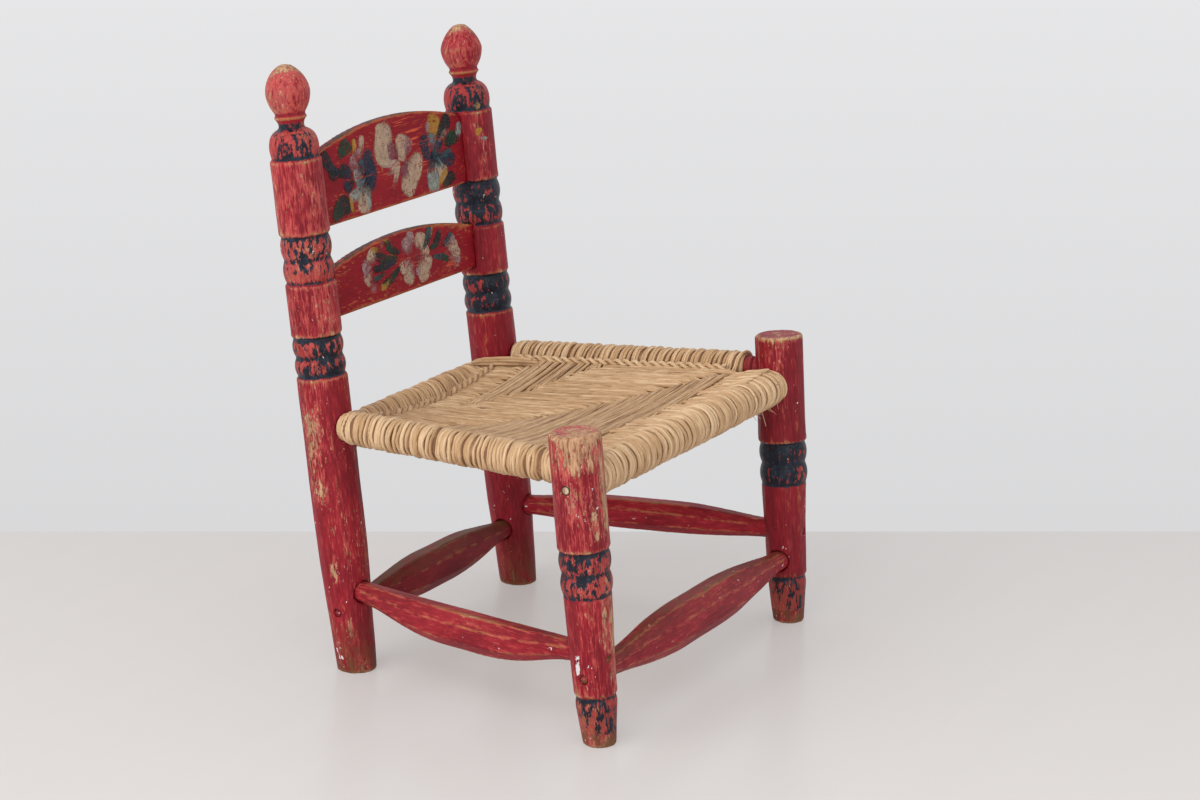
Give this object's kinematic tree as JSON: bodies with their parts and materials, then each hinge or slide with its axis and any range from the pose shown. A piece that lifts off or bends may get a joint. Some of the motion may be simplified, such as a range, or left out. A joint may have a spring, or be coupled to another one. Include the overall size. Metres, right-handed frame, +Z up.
{
  "type": "kids chair",
  "caption": "Child's ladder-back chair with turned red posts, ball finials, painted flower slats, shaved stretchers and a woven palm seat.",
  "frame": {"origin": "floor, under the middle of the bounding box", "axes": "+Z up, the sitter faces -Y, the sitter's left is +X"},
  "size_m": [0.4072, 0.3697, 0.5409],
  "materials": {
    "red_wood": "worn brushed paint over turned wood",
    "slat_wood": "brushed paint with hand-painted flowers",
    "palm_cord": "dry woven palm strands"
  },
  "bodies": {
    "root": {"right_rear_post": "red_wood", "left_rear_post": "red_wood", "right_front_post": "red_wood", "left_front_post": "red_wood", "front_seat_rail": "red_wood", "rear_seat_rail": "red_wood", "right_seat_rail": "red_wood", "left_seat_rail": "red_wood", "front_stretcher": "red_wood", "rear_stretcher": "red_wood", "right_stretcher": "red_wood", "left_stretcher": "red_wood", "crest_slat": "slat_wood", "lower_slat": "slat_wood", "front_rail_wrap": "palm_cord", "rear_rail_wrap": "palm_cord", "right_rail_wrap": "palm_cord", "left_rail_wrap": "palm_cord", "seat_warp": "palm_cord", "seat_weft": "palm_cord"}
  },
  "joints": []
}
